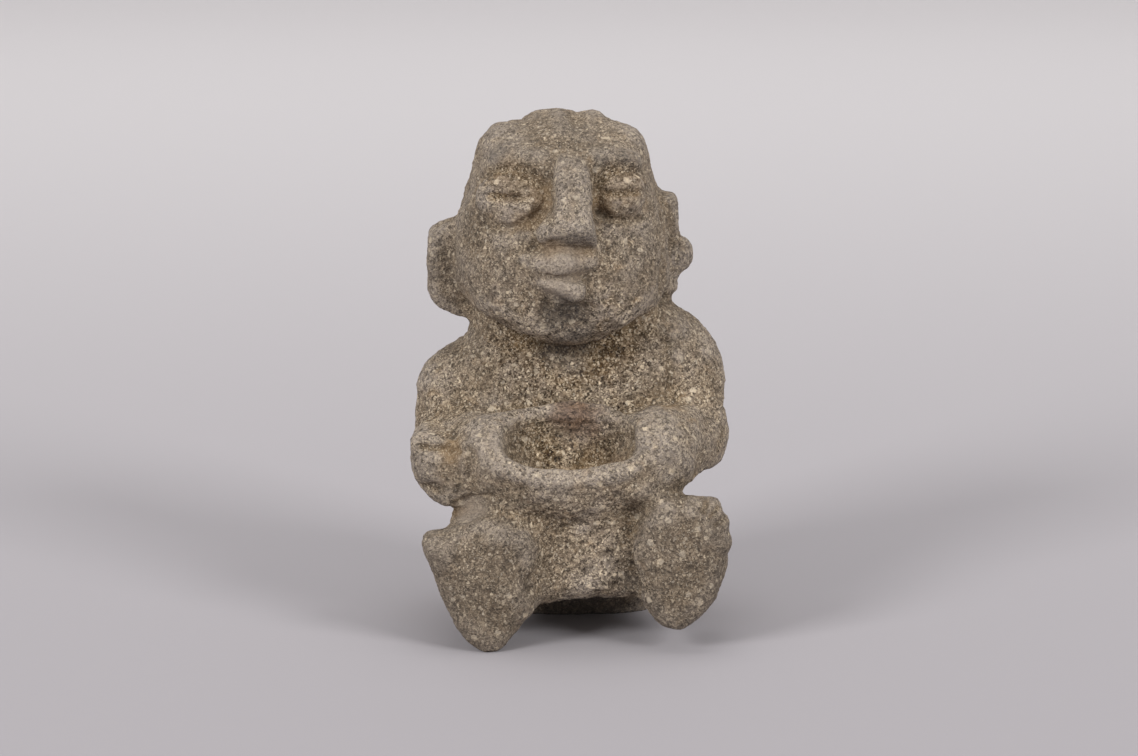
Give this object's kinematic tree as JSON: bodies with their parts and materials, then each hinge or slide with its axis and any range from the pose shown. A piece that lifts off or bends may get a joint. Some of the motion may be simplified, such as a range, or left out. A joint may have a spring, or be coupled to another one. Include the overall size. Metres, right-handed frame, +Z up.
{
  "type": "costa rican stone figure",
  "caption": "Seated figure carved from one block of grey volcanic stone, with large head, arms round an open oval bowl and soles of the feet turned forward.",
  "frame": {"origin": "on the resting plane, under the middle of the figure's bounding box", "axes": "+Z up through the head, -Y the way the figure faces, +X to the viewer's right"},
  "size_m": [0.1008, 0.085, 0.1652],
  "materials": {
    "stone": "weathered grey-brown volcanic stone with pale mineral grains, matt, with ochre dirt in the recesses"
  },
  "bodies": {
    "root": {"stone_figure": "stone"}
  },
  "joints": []
}
